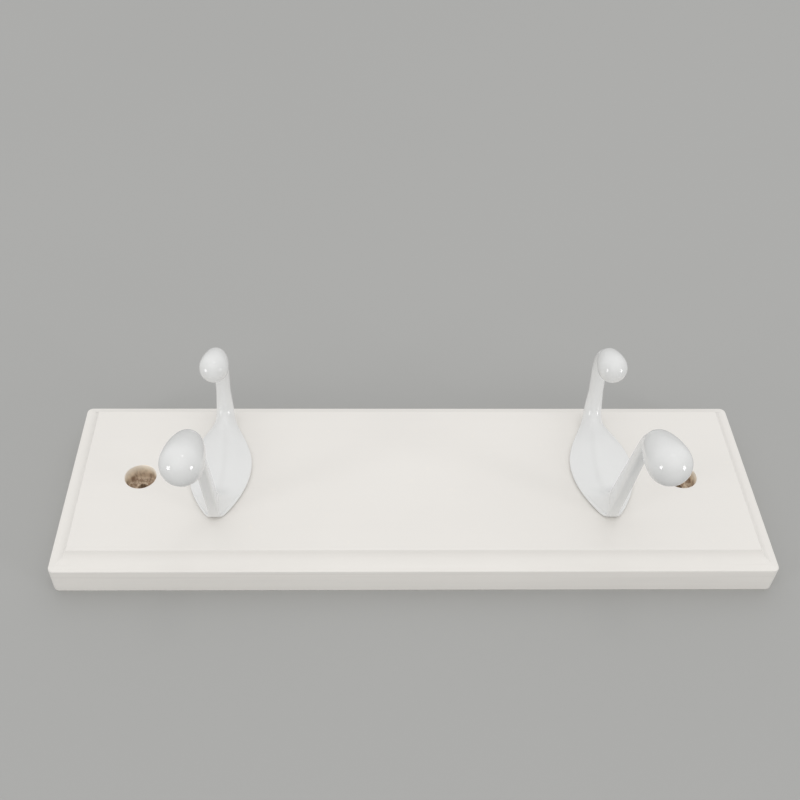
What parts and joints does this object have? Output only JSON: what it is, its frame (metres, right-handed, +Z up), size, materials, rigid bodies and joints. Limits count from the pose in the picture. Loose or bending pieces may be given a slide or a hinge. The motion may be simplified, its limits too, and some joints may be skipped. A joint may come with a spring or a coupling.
{
  "type": "wall coat rack",
  "caption": "Short wall board with a coved edge and cast double hooks, each with a long hat prong and a short coat prong that end in rounded knobs.",
  "frame": {"origin": "centre of the board's back face, on the wall", "axes": "+Z up the wall, +X along the board, +Y into the wall; the hooks point to -Y"},
  "size_m": [0.28, 0.0942, 0.1102],
  "materials": {
    "white_paint": "warm white satin paint",
    "white_enamel": "glossy white enamel on a casting",
    "zinc_plate": "zinc plated"
  },
  "bodies": {
    "root": {"board": "white_paint", "hook_left": "white_enamel", "hook_right": "white_enamel", "hook_screw_left_top": "zinc_plate", "hook_screw_left_bottom": "zinc_plate", "hook_screw_right_top": "zinc_plate", "hook_screw_right_bottom": "zinc_plate"}
  },
  "joints": []
}
